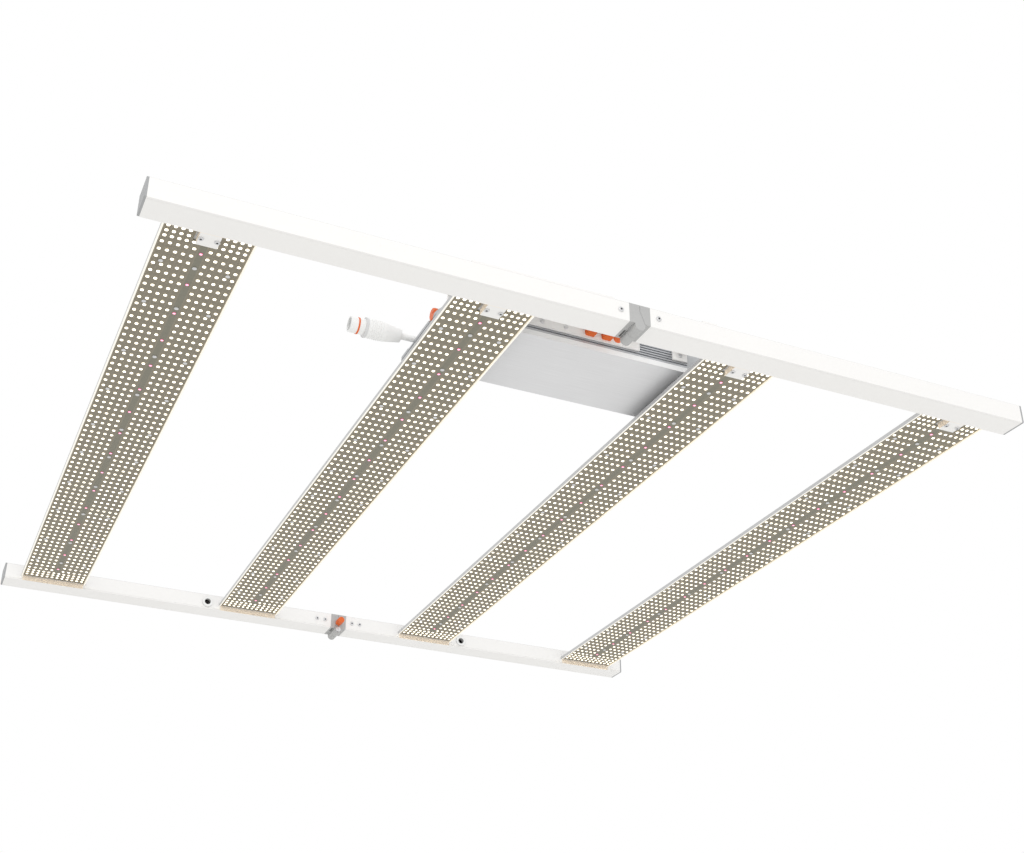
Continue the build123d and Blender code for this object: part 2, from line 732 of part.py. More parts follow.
# Left end cover: as the right one, with an open entry for the lead and a seat for the dimmer knob.
with BuildPart() as driver_end_left:
    add(end_cover(-1, 0))
    with BuildPart(mode=Mode.PRIVATE) as hollow:
        add(end_cover(-1, end_wall))
        with Locations((-driver_half, lead_y, driver_height / 2)):
            entry_length = driver_half + gland_x + end_wall
            entry_outside = entry_width + 2 * end_wall
            Box(2 * entry_length, entry_outside, driver_height, mode=Mode.SUBTRACT)
        with Locations((-driver_half, knob_y, driver_height / 2)):
            seat_length = driver_half + knob_seat_x + end_wall
            seat_outside = 2 * (knob_seat_r + end_wall)
            Box(2 * seat_length, seat_outside, driver_height, mode=Mode.SUBTRACT)
    add(hollow.part, mode=Mode.SUBTRACT)
    with Locations((-driver_half, lead_y, driver_height / 2 + base_thick)):
        Box(2 * (driver_half + gland_x), entry_width, driver_height, mode=Mode.SUBTRACT)
    drill((knob_seat_x, knob_y, knob_z), (-1, 0, 0), knob_seat_r, driver_half + knob_seat_x)
    shaft_hole = knob_shaft_length + end_wall
    drill((knob_seat_x, knob_y, knob_z), (1, 0, 0), knob_shaft_r + pin_run, shaft_hole)
    drill((gland_x, lead_y, lead_z), (1, 0, 0), gland_stem_r + slip, 2 * end_wall)
keep("driver_end_left", driver_end_left.part)

# Driver's inside: circuit board on four stands, transformer and capacitors on the board.
circuit_z = base_thick + circuit_stand
circuit_top_z = circuit_z + circuit_thick
stood = (Align.CENTER, Align.CENTER, Align.MIN)
with BuildPart() as driver_board:
    with Locations((0, driver_mid, circuit_z)):
        circuit_depth = driver_depth - 2 * circuit_margin
        Box(driver_body - 2 * circuit_margin, circuit_depth, circuit_thick, align=stood)
    for x in (-stand_x, stand_x):
        for y in (-stand_side, stand_side):
            with Locations((x, driver_mid + y, base_thick)):
                Cylinder(stand_r, circuit_stand, align=stood)
keep("driver_board", driver_board.part)

with BuildPart() as transformer:
    with Locations((core_x, driver_mid + core_side, circuit_top_z)):
        Box(*core_sizes, align=stood)
        Box(*winding_sizes, align=stood)
    chamfer(transformer.edges().filter_by(Axis.Z), 1.0)
keep("transformer", transformer.part)

with BuildPart() as capacitors:
    for x in capacitor_x:
        with Locations((x, driver_mid + capacitor_side, circuit_top_z)):
            Cylinder(capacitor_r, capacitor_height, align=stood)
keep("capacitors", capacitors.part)

# Control sockets behind the two port openings, and the rubber caps that close them.
socket_y = driver_near + groove_depth + side_wall + socket_gap
with BuildPart() as control_sockets:
    for x in port_x:
        with BuildSketch(Plane.XZ.offset(-socket_y)):
            with Locations((x, port_z)):
                Rectangle(port_width + 2 * socket_margin, port_height + 2 * socket_margin)
        extrude(amount=-port_depth)
keep("control_sockets", control_sockets.part)

flange_face_y = driver_near - slip - sheet
with BuildPart() as port_caps:
    for x in port_x:
        with BuildSketch(Plane.XZ.offset(-flange_face_y)) as pad:
            with Locations((x, port_z)):
                Rectangle(cap_width, cap_height)
            fillet(pad.vertices(), cap_corner_r)
        extrude(amount=cap_thick)
        with BuildSketch(Plane.XZ.offset(-flange_face_y)):
            with Locations((x, port_z)):
                Rectangle(port_width, port_height)
        extrude(amount=-(sheet + slip + groove_depth + side_wall))
keep("port_caps", port_caps.part)

# Driver brackets: bent sheet from the near rail's top up and over to the driver's side. The long
# one is screwed to the left rail. The short one rests on the right rail when the light is open.
riser_y = -inner_y
with BuildPart() as driver_brackets:
    for start, end, foot_z in (
        (bracket_start, -half_gap, 0.0),
        (rest_x - rest_width / 2, rest_x + rest_width / 2, rest_gap),
    ):
        with BuildSketch(Plane.YZ.offset(start)):
            with BuildLine():
                Polyline(
                    (rail_y(-1, bracket_foot_edge), foot_z),
                    (riser_y, foot_z),
                    (riser_y, bracket_rise - sheet),
                    (flange_face_y, bracket_rise - sheet),
                    (flange_face_y, bracket_rise - bracket_flange),
                    (driver_near - slip, bracket_rise - bracket_flange),
                    (driver_near - slip, bracket_rise),
                    (riser_y - sheet, bracket_rise),
                    (riser_y - sheet, foot_z + sheet),
                    (rail_y(-1, bracket_foot_edge), foot_z + sheet),
                    close=True,
                )
            make_face()
        extrude(amount=end - start)
    with BuildSketch(Plane.YZ.offset(-half_gap)):
        with BuildLine():
            Polyline(
                (riser_y, bracket_rise - sheet),
                (flange_face_y, bracket_rise - sheet),
                (flange_face_y, bracket_rise - bracket_flange),
                (driver_near - slip, bracket_rise - bracket_flange),
                (driver_near - slip, bracket_rise),
                (riser_y, bracket_rise),
                close=True,
            )
        make_face()
    extrude(amount=bracket_end + half_gap)
    for x in port_x:
        with BuildSketch(Plane.XZ.offset(-flange_face_y)):
            with Locations((x, port_z)):
                Rectangle(port_width + 2 * slip, port_height + 2 * slip)
        extrude(amount=-(sheet + slip), mode=Mode.SUBTRACT)
    for x in bracket_screw_x + (rest_x,):
        start = (x, flange_face_y, bracket_screw_z)
        drill(start, (0, 1, 0), screw_r + slip, sheet + slip)
    for x in foot_screw_x:
        drill((x, rail_y(-1, rail_width / 2), 0), (0, 0, 1), screw_r + slip, sheet)
keep("driver_brackets", driver_brackets.part)

with BuildPart() as bracket_screws:
    for x in bracket_screw_x + (rest_x,):
        head = (x, flange_face_y, bracket_screw_z)
        reach = sheet + groove_depth + side_wall
        add(screw(head, (0, 1, 0), rail_screw_head_r, screw_head, screw_r, reach))
    for x in foot_screw_x:
        head = (x, rail_y(-1, rail_width / 2), sheet)
        reach = sheet + rail_wall + foot_screw_past
        add(screw(head, (0, 0, -1), screw_head_r, screw_head, screw_r, reach))
keep("bracket_screws", bracket_screws.part)

# Dimmer knob on the left end cover.
knob_x = knob_seat_x - knob_play
with BuildPart() as dimmer_knob:
    with BuildSketch(Plane(origin=(knob_x, knob_y, knob_z), z_dir=(-1, 0, 0))):
        Circle(knob_r)
    extrude(amount=knob_length)
    fillet(dimmer_knob.edges().filter_by(GeomType.CIRCLE).group_by(Axis.X)[0], 1.2)
    with BuildSketch(Plane(origin=(knob_x, knob_y, knob_z), z_dir=(1, 0, 0))):
        Circle(knob_shaft_r)
    extrude(amount=knob_shaft_length)
    with BuildSketch(Plane(origin=(knob_x - knob_length, knob_y, knob_z), z_dir=(1, 0, 0))):
        with Locations((0, knob_r * 0.6)):
            Rectangle(knob_mark_width, knob_r * 0.8)
    extrude(amount=knob_mark_depth, mode=Mode.SUBTRACT)
keep("dimmer_knob", dimmer_knob.part)

# Input gland, lead and plug, all on one axis along -X. The gland ends in a tapered strain relief.
gland_plane = Plane(origin=(gland_x, lead_y, lead_z), z_dir=(-1, 0, 0))
relief_plane = gland_plane.offset(gland_thick)
lead_plane = relief_plane.offset(relief_length)
with BuildPart() as input_gland:
    with BuildSketch(gland_plane):
        Circle(gland_r)
    extrude(amount=gland_thick)
    with BuildSketch(gland_plane):
        Circle(gland_stem_r)
    extrude(amount=-gland_inside)
    with BuildSketch(relief_plane):
        Circle(relief_r)
    with BuildSketch(lead_plane):
        Circle(relief_end_r)
    loft()
keep("input_gland", input_gland.part)

with BuildPart() as input_lead:
    with BuildSketch(lead_plane):
        Circle(lead_r)
    extrude(amount=lead_length)
keep("input_lead", input_lead.part)

plug_plane = lead_plane.offset(lead_length)
collar_plane = plug_plane.offset(plug_boot + plug_body)
nose_plane = collar_plane.offset(plug_collar)
front_plane = nose_plane.offset(plug_nose)
with BuildPart() as connector_body:
    with BuildSketch(plug_plane):
        Circle(plug_boot_r)
    with BuildSketch(plug_plane.offset(plug_boot)):
        Circle(plug_body_r)
    loft()
    with BuildSketch(plug_plane.offset(plug_boot)):
        Circle(plug_body_r)
    extrude(amount=plug_body)
keep("connector_body", connector_body.part)

with BuildPart() as connector_collar:
    with BuildSketch(collar_plane):
        Circle(plug_collar_r)
    extrude(amount=plug_collar)
keep("connector_collar", connector_collar.part)

with BuildPart() as connector_nose:
    with BuildSketch(nose_plane):
        Circle(plug_nose_r)
        Circle(plug_nose_r - plug_nose_wall, mode=Mode.SUBTRACT)
    extrude(amount=plug_nose)
    with BuildSketch(front_plane.offset(-plug_seal_back - plug_seal_width / 2)):
        Circle(plug_nose_r)
        Circle(plug_nose_r - plug_seal_depth, mode=Mode.SUBTRACT)
    extrude(amount=plug_seal_width, mode=Mode.SUBTRACT)
keep("connector_nose", connector_nose.part)

with BuildPart() as connector_seal:
    with BuildSketch(front_plane.offset(-plug_seal_back - plug_seal_width / 2)):
        Circle(plug_seal_r)
        Circle(plug_nose_r - plug_seal_depth, mode=Mode.SUBTRACT)
    extrude(amount=plug_seal_width)
keep("connector_seal", connector_seal.part)

with BuildPart() as connector_insert:
    with BuildSketch(nose_plane):
        Circle(plug_nose_r - plug_nose_wall - screw_slip)
    extrude(amount=plug_nose - plug_recess)
    with BuildSketch(front_plane.offset(-plug_recess)):
        with PolarLocations(contact_circle, 3):
            Circle(contact_r)
    extrude(amount=-contact_depth, mode=Mode.SUBTRACT)
keep("connector_insert", connector_insert.part)

os.makedirs("parts", exist_ok=True)
for name, part in parts.items():
    export_step(part, f"parts/{name}.step")
print(len(parts), "nodes written")
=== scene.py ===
# A folding LED grow light: two white rails carry four bars of LEDs, and a slim driver sits on top.
# Metres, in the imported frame: +X along the rails, +Y away from the driver's rail, +Z up.
import math
import bpy
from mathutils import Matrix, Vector


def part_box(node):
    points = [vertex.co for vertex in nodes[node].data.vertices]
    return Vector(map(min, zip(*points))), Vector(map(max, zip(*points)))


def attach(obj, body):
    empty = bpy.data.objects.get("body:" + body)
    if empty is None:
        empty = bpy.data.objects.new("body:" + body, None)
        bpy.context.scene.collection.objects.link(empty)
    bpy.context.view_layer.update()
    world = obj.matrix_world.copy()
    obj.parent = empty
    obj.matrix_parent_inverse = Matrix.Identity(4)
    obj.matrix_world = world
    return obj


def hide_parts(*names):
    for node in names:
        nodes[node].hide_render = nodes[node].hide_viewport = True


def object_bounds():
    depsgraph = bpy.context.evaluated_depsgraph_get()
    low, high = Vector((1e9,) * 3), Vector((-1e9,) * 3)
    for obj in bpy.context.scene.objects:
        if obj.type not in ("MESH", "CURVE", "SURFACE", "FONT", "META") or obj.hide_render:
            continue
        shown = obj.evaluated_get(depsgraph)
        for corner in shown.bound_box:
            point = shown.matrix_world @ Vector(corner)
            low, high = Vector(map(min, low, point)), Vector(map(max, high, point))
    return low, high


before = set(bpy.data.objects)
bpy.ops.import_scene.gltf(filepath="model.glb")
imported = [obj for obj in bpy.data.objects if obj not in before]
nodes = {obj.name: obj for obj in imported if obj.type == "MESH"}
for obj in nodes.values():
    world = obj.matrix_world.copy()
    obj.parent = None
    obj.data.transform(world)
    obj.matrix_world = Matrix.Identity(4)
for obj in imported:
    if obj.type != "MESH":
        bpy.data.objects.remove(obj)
cad_low, cad_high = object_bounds()
bpy.ops.object.select_all(action="DESELECT")
scene = bpy.context.scene


# Studio: a pale floor far below the light, a white surround and three soft lamps, one of them low
# so that the undersides are lit as well.
def soft_lamp(name, place, target, size, power):
    bpy.ops.object.light_add(type="AREA", location=place)
    lamp = bpy.context.object
    lamp.name = name
    lamp.data.shape = "DISK"
    lamp.data.size = size
    lamp.data.energy = power
    lamp.rotation_euler = (Vector(target) - Vector(place)).to_track_quat("-Z", "Y").to_euler()


floor_z = cad_low.z - 2.4
bpy.ops.mesh.primitive_plane_add(size=60, location=(0, 0, floor_z))
floor = bpy.context.object
floor.name = "studio_floor"
floor_paint = bpy.data.materials.new("pale_floor")
floor_paint.use_nodes = True
floor_shader = floor_paint.node_tree.nodes["Principled BSDF"]
floor_shader.inputs["Base Color"].default_value = (0.86, 0.86, 0.85, 1)
floor_shader.inputs["Roughness"].default_value = 0.9
floor.data.materials.append(floor_paint)

scene.world = bpy.data.worlds.new("white_surround")
scene.world.use_nodes = True
scene.world.node_tree.nodes["Background"].inputs["Color"].default_value = (1, 1, 1, 1)
scene.world.node_tree.nodes["Background"].inputs["Strength"].default_value = 1.0
scene.view_settings.view_transform = "Standard"
scene.view_settings.look = "None"
soft_lamp("key_lamp", (-1.2, -3.4, 0.9), (0, 0, 0), 2.2, 20)
soft_lamp("low_lamp", (0.6, -1.2, -2.1), (0, 0, 0), 1.8, 3)
soft_lamp("top_lamp", (0.8, 1.4, 2.6), (0, 0, 0), 2.4, 8)

camera_data = bpy.data.cameras.new("view_from_below")
camera = bpy.data.objects.new("view_from_below", camera_data)
scene.collection.objects.link(camera)
camera.location = (-0.68248, -1.69054, -0.87718)
camera.rotation_euler = (2.07001, 0.00017, -0.43013)
camera_data.lens = 49.64
camera_data.sensor_width = 36
camera_data.clip_start = 0.05
scene.camera = camera


# Input lead: a short length of round white cable, moulded into the plug's boot at its far end and
# clamped by the gland in the driver's left end.
def surface(name, colour, spread, roughness, metallic=0.0, grain=900.0, bump=0.05, stretch=(1, 1, 1)):
    """Procedural finish: grain moves the colour by spread and the gloss a little, and gives relief."""
    material = bpy.data.materials.new(name)
    material.use_nodes = True
    tree = material.node_tree
    shader = tree.nodes["Principled BSDF"]
    shader.inputs["Metallic"].default_value = metallic
    place = tree.nodes.new("ShaderNodeTexCoord")
    turn = tree.nodes.new("ShaderNodeMapping")
    turn.inputs["Scale"].default_value = stretch
    tree.links.new(place.outputs["Object"], turn.inputs["Vector"])
    fine = tree.nodes.new("ShaderNodeTexNoise")
    fine.inputs["Scale"].default_value = grain
    fine.inputs["Detail"].default_value = 3.0
    tree.links.new(turn.outputs["Vector"], fine.inputs["Vector"])
    broad = tree.nodes.new("ShaderNodeTexNoise")
    broad.inputs["Scale"].default_value = 9.0
    broad.inputs["Detail"].default_value = 4.0
    tree.links.new(place.outputs["Object"], broad.inputs["Vector"])
    both = tree.nodes.new("ShaderNodeMix")
    both.inputs["Factor"].default_value = 0.35
    tree.links.new(fine.outputs["Fac"], both.inputs["A"])
    tree.links.new(broad.outputs["Fac"], both.inputs["B"])
    tone = tree.nodes.new("ShaderNodeValToRGB")
    tone.color_ramp.elements[0].position = 0.3
    tone.color_ramp.elements[1].position = 0.7
    tone.color_ramp.elements[0].color = [channel * (1 - spread) for channel in colour] + [1]
    tone.color_ramp.elements[1].color = [min(1, channel * (1 + spread)) for channel in colour] + [1]
    tree.links.new(both.outputs["Result"], tone.inputs["Fac"])
    tree.links.new(tone.outputs["Color"], shader.inputs["Base Color"])
    gloss = tree.nodes.new("ShaderNodeMapRange")
    gloss.inputs["To Min"].default_value = max(0.05, roughness - 0.07)
    gloss.inputs["To Max"].default_value = min(1.0, roughness + 0.07)
    tree.links.new(both.outputs["Result"], gloss.inputs["Value"])
    tree.links.new(gloss.outputs["Result"], shader.inputs["Roughness"])
    relief = tree.nodes.new("ShaderNodeBump")
    relief.inputs["Strength"].default_value = bump
    relief.inputs["Distance"].default_value = 0.0004
    tree.links.new(fine.outputs["Fac"], relief.inputs["Height"])
    tree.links.new(relief.outputs["Normal"], shader.inputs["Normal"])
    return material


lead_low, lead_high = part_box("input_lead")
lead_axis_y = (lead_low.y + lead_high.y) / 2
lead_axis_z = (lead_low.z + lead_high.z) / 2
lead_diameter = lead_high.z - lead_low.z
lead_curve = bpy.data.curves.new("input_cable", "CURVE")
lead_curve.dimensions = "3D"
lead_curve.bevel_depth = lead_diameter / 2
lead_curve.bevel_resolution = 6
lead_curve.use_fill_caps = True
run = lead_curve.splines.new("NURBS")
run.points.add(2)
for point, x in zip(run.points, (lead_high.x, (lead_high.x + lead_low.x) / 2, lead_low.x)):
    point.co = (x, lead_axis_y, lead_axis_z, 1)
run.order_u = 3
run.use_endpoint_u = True
input_cable = bpy.data.objects.new("input_cable", lead_curve)
scene.collection.objects.link(input_cable)
input_cable.data.materials.append(surface("white_sheath", (0.92, 0.92, 0.91), 0.03, 0.42, grain=1400))
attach(input_cable, "left_half")
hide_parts("input_lead")


# Rails, their covers and the bent brackets: aluminium and sheet steel in white powder coat, with
# painted grey shade over the rounded edges and painted warm light where the LEDs shine on it. The
# covers clip into the rails.
def link(material, source, target):
    material.node_tree.links.new(source, target)


def math_node(material, operation, first, second=0.5, third=0.0):
    """Math node whose inputs are sockets or numbers; returns its output."""
    node = material.node_tree.nodes.new("ShaderNodeMath")
    node.operation = operation
    for socket, value in zip(node.inputs, (first, second, third)):
        if isinstance(value, (int, float)):
            socket.default_value = value
        else:
            link(material, value, socket)
    return node.outputs["Value"]


def shade(material, mask, colour, amount=1.0):
    """Lay a colour over the material's colour wherever mask is 1."""
    shader = material.node_tree.nodes["Principled BSDF"]
    under = shader.inputs["Base Color"].links[0].from_socket
    mix = material.node_tree.nodes.new("ShaderNodeMix")
    mix.data_type = "RGBA"
    link(material, math_node(material, "MULTIPLY", mask, amount), mix.inputs["Factor"])
    link(material, under, mix.inputs["A"])
    mix.inputs["B"].default_value = (*colour, 1)
    link(material, mix.outputs["Result"], shader.inputs["Base Color"])


def coordinate(material, output="Object"):
    """X, Y and Z sockets of the object coordinates or the normal."""
    place = material.node_tree.nodes.new("ShaderNodeTexCoord")
    split = material.node_tree.nodes.new("ShaderNodeSeparateXYZ")
    link(material, place.outputs[output], split.inputs["Vector"])
    return split.outputs["X"], split.outputs["Y"], split.outputs["Z"]


def finish(material, *names):
    for name in names:
        nodes[name].data.materials.clear()
        nodes[name].data.materials.append(material)


powder_coat = surface("white_powder_coat", (0.895, 0.883, 0.868), 0.015, 0.45, grain=1600, bump=0.12)
# Painted shade: faces whose normal leans off the axes, the rounded edges, are greyed so they read as a
# thin grey outline.
normal_x, normal_y, normal_z = coordinate(powder_coat, "Normal")
steepest = math_node(powder_coat, "MAXIMUM", math_node(powder_coat, "ABSOLUTE", normal_y),
                     math_node(powder_coat, "ABSOLUTE", normal_z))
steepest = math_node(powder_coat, "MAXIMUM", steepest, math_node(powder_coat, "ABSOLUTE", normal_x))
shade(powder_coat, math_node(powder_coat, "LESS_THAN", steepest, 0.96), (0.45, 0.45, 0.45), 0.6)
board_low, board_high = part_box("led_board_1")
bar_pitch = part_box("led_board_2")[0].x - board_low.x
rail_face_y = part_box("heatsink_1")[1].y + 0.0003
tab_half = 0.012


def from_bar(material, x):
    """Distance along X from the middle of the nearest bar, with its sign."""
    wrapped = math_node(material, "WRAP", x, -bar_pitch, 0.0)
    return math_node(material, "ADD", wrapped, bar_pitch / 2)


# Painted warm light: the rails' inner faces under each bar and the tabs' sides below the boards take a
# cream-orange tint, as if lit by the LEDs.
coat_x, coat_y, coat_z = coordinate(powder_coat)
beside = math_node(powder_coat, "ABSOLUTE", from_bar(powder_coat, coat_x))
under_bar = math_node(powder_coat, "LESS_THAN", beside, (board_high.x - board_low.x) / 2)
off_face = math_node(powder_coat, "SUBTRACT", math_node(powder_coat, "ABSOLUTE", coat_y), rail_face_y)
on_face = math_node(powder_coat, "LESS_THAN", math_node(powder_coat, "ABSOLUTE", off_face), 0.0003)
lit_face = math_node(powder_coat, "MULTIPLY", under_bar, on_face)
sideways = math_node(powder_coat, "GREATER_THAN", math_node(powder_coat, "ABSOLUTE", normal_x), 0.5)
near_tab = math_node(powder_coat, "LESS_THAN", beside, tab_half)
lit_tab = math_node(powder_coat, "MULTIPLY", near_tab, sideways)
lit = math_node(powder_coat, "MAXIMUM", lit_face, lit_tab)
below_board = math_node(powder_coat, "LESS_THAN", coat_z, board_low.z)
lit = math_node(powder_coat, "MULTIPLY", lit, below_board)
shade(powder_coat, lit, (1.0, 0.84, 0.66), 0.7)
finish(powder_coat, *[name for name in nodes if name.startswith("rail_")], "driver_brackets",
       "bar_brackets_left", "bar_brackets_right")
finish(surface("grey_moulding", (0.38, 0.385, 0.39), 0.08, 0.55, grain=2200, bump=0.15),
       "end_caps_left", "end_caps_right")

# Hinge leaves and their pins: zinc castings with a fine matt grain, and plated steel pins pressed
# into the left leaves. The latch's steel pin and spring sit in the boss of the right leaf.
finish(surface("cast_zinc", (0.47, 0.47, 0.465), 0.14, 0.5, metallic=0.3, grain=2600, bump=0.3),
       *[name for name in nodes if name.startswith("hinge_leaf")])
bright_steel = surface("bright_steel", (0.70, 0.70, 0.71), 0.08, 0.3, metallic=0.9, grain=3000)
finish(bright_steel, "hinge_pin_near", "hinge_pin_far", "latch_pin_near", "latch_pin_far",
       "latch_spring_near", "latch_spring_far", "frame_screws_left", "frame_screws_right",
       "bracket_screws", "board_screws_left", "board_screws_right")

# Latch knobs and the dimmer knob: orange moulded plastic, pushed on their pin or shaft, with a ring
# of raised grip ribs around each.
orange_moulding = surface("orange_moulding", (0.74, 0.125, 0.012), 0.08, 0.4, grain=1800, bump=0.1)
finish(orange_moulding, "latch_knob_near", "latch_knob_far", "dimmer_knob")


def pick(*pieces):
    """Select the pieces alone, the first being the active one."""
    bpy.ops.object.select_all(action="DESELECT")
    for piece in pieces:
        piece.select_set(True)
    bpy.context.view_layer.objects.active = pieces[0]


def settle(name, pieces, body, slot_name, *materials):
    """Join the new pieces into one object at the origin that rides on a body."""
    pick(*pieces)
    if len(pieces) > 1:
        bpy.ops.object.join()
    bpy.ops.object.transform_apply(location=True, rotation=True, scale=True)
    joined = bpy.context.object
    joined.name = name
    if materials:
        joined.data.materials.clear()
        for material in materials:
            joined.data.materials.append(material)
    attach(joined, body)
    return joined


def repeat(piece, count, step):
    """Copies of the piece's mesh in a row, one step apart."""
    copies = piece.modifiers.new("copies", "ARRAY")
    copies.count = count
    copies.use_relative_offset = False
    copies.use_constant_offset = True
    copies.constant_offset_displace = step
    bpy.ops.object.modifier_apply(modifier=copies.name)


def grip(name, node, axis, start, length, count, body):
    """Ribs along a round knob; axis 0 or 1 is the knob's axis, start and length are along it."""
    low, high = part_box(node)
    middle = (low + high) / 2
    radius = (high.z - low.z) / 2
    rib_rise, rib_width, rib_round = 0.0005, 0.0007, 0.00015
    ribs = []
    for number in range(count):
        angle = 2 * math.pi * number / count
        place = middle.copy()
        place[axis] = start + length / 2
        place[1 - axis] += radius * math.cos(angle)
        place.z += radius * math.sin(angle)
        turned = (angle, 0, 0) if axis == 0 else (0, -angle, 0)
        size = (length, rib_rise, rib_width) if axis == 0 else (rib_rise, length, rib_width)
        bpy.ops.mesh.primitive_cube_add(size=1, location=place, rotation=turned)
        rib = bpy.context.object
        rib.scale = size
        bpy.ops.object.transform_apply(location=False, rotation=False, scale=True)
        bevel = rib.modifiers.new("round", "BEVEL")
        bevel.width = rib_round
        bevel.segments = 2
        bpy.ops.object.modifier_apply(modifier=bevel.name)
        ribs.append(rib)
    settle(name, ribs, body, "orange_plastic", orange_moulding)


dimmer_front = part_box("dimmer_knob")[0].x
grip("dimmer_grip", "dimmer_knob", 0, dimmer_front + 0.0015, 0.0065, 20, "dimmer")
for end in ("near", "far"):
    latch_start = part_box(f"latch_knob_{end}")[0].y + 0.0025
    grip(f"latch_grip_{end}", f"latch_knob_{end}", 1, latch_start, 0.012, 16, f"{end}_latch")

# Heatsinks: clear anodised extrusions, drawn along Y. The edge of each lip, which frames the board, is
# brightened with painted cream LED light and a faint glow, the faces turned towards the board take a
# warmer painted light and a stronger glow, and the walls outside it are plain grey metal.
anodised = surface("anodised_extrusion", (0.55, 0.55, 0.55), 0.06, 0.42, metallic=0.35, grain=700,
                   bump=0.08, stretch=(1, 0.02, 1))
normal_x, normal_y, normal_z = coordinate(anodised, "Normal")
sink_x, sink_y, sink_z = coordinate(anodised)
# Painted LED light: the lips' downward faces below the board take a cream colour, and the faces turned
# towards the bar's middle a warmer one.
low_part = math_node(anodised, "LESS_THAN", sink_z, board_low.z + 0.0002)
facing_down = math_node(anodised, "LESS_THAN", normal_z, -0.5)
lip = math_node(anodised, "MULTIPLY", low_part, facing_down)
inward = math_node(anodised, "MULTIPLY", from_bar(anodised, sink_x), normal_x)
inward = math_node(anodised, "LESS_THAN", inward, -0.01)
inward = math_node(anodised, "MULTIPLY", inward, low_part)
shade(anodised, lip, (0.95, 0.93, 0.88))
shade(anodised, inward, (1.0, 0.91, 0.72))
# Painted glow: emission on the same faces, weaker on the lips' undersides, stands in for LED light
# falling on them.
anodised_shader = anodised.node_tree.nodes["Principled BSDF"]
anodised_shader.inputs["Emission Color"].default_value = (1.0, 0.90, 0.72, 1)
lip_glow = math_node(anodised, "MULTIPLY", lip, 0.16)
inward_glow = math_node(anodised, "MULTIPLY", inward, 0.45)
spill = math_node(anodised, "ADD", lip_glow, inward_glow)
link(anodised, spill, anodised_shader.inputs["Emission Strength"])
finish(anodised, "heatsink_1", "heatsink_2", "heatsink_3", "heatsink_4")

# LED boards: taupe solder mask over copper, screwed into the heatsinks. A bare strip runs down the
# middle of each, and faint traces join the rows and columns of LEDs.
solder_mask = surface("solder_mask", (0.235, 0.208, 0.155), 0.05, 0.5, grain=2000, bump=0.05)
mask_x, mask_y = coordinate(solder_mask)[:2]
off_centre = math_node(solder_mask, "ABSOLUTE", from_bar(solder_mask, mask_x))
shade(solder_mask, math_node(solder_mask, "LESS_THAN", off_centre, 0.004), (0.185, 0.185, 0.145), 0.6)
column = math_node(solder_mask, "PINGPONG", off_centre, 0.0042)
shade(solder_mask, math_node(solder_mask, "GREATER_THAN", column, 0.0037), (0.29, 0.262, 0.195), 0.4)
between = math_node(solder_mask, "PINGPONG", mask_y, 0.007)
shade(solder_mask, math_node(solder_mask, "LESS_THAN", between, 0.0004), (0.17, 0.15, 0.11), 0.4)
finish(solder_mask, "led_board_1", "led_board_2", "led_board_3", "led_board_4")

# White LEDs: a 3.6 by 4 mm package, a white wall round a low dome of lit phosphor, soldered in ten
# columns, and in closer rows of twelve at the bars' ends. The bracket's tab takes some of their room.
wall_white = surface("led_wall", (0.90, 0.86, 0.74), 0.04, 0.4, grain=2000)
lit_phosphor = surface("lit_phosphor", (0.95, 0.85, 0.62), 0.05, 0.35, grain=2500)
glow = lit_phosphor.node_tree.nodes["Principled BSDF"]
glow.inputs["Emission Color"].default_value = (1.0, 0.93, 0.80, 1)
glow.inputs["Emission Strength"].default_value = 2.2
face_z = board_low.z
package_height = 0.0006
package_face_z = face_z - package_height
bpy.ops.mesh.primitive_cube_add(size=1, location=(0, 0, face_z - package_height / 2))
package = bpy.context.object
package.scale = (0.0036, 0.0038, package_height)
bpy.ops.object.transform_apply(location=False, rotation=False, scale=True)
package.data.materials.append(wall_white)
package.data.materials.append(lit_phosphor)
bpy.ops.mesh.primitive_uv_sphere_add(segments=12, ring_count=6, radius=0.0020,
                                     location=(0, 0, package_face_z))
dome = bpy.context.object
dome.scale = (0.98, 1.08, 0.22)
bpy.ops.object.mode_set(mode="EDIT")
bpy.ops.mesh.select_all(action="SELECT")
bpy.ops.mesh.bisect(plane_co=(0, 0, package_face_z), plane_no=(0, 0, 1), clear_outer=True)
bpy.ops.object.mode_set(mode="OBJECT")
bpy.ops.object.shade_smooth()
dome.data.materials.append(wall_white)
dome.data.materials.append(lit_phosphor)
dome.data.polygons.foreach_set("material_index", [1] * len(dome.data.polygons))
pick(package, dome)
bpy.ops.object.join()
led = bpy.context.object
bpy.ops.object.transform_apply(location=True, rotation=True, scale=True)


def led_rows(bar_x, first, columns, column_pitch, rows, row_pitch, both_ends=False):
    """Copies of the LED from first outwards, mirrored about the bar's middle line."""
    field = led.copy()
    field.data = led.data.copy()
    scene.collection.objects.link(field)
    pick(field)
    field.location = (first[0], first[1], 0)
    bpy.ops.object.transform_apply(location=True, rotation=False, scale=False)
    repeat(field, columns, (column_pitch, 0, 0))
    repeat(field, rows, (0, row_pitch, 0))
    mirror = field.modifiers.new("mirror", "MIRROR")
    mirror.use_axis = (True, both_ends, False)
    mirror.use_mirror_merge = False
    bpy.ops.object.modifier_apply(modifier=mirror.name)
    field.location.x = bar_x
    bpy.ops.object.transform_apply(location=True, rotation=False, scale=False)
    return field


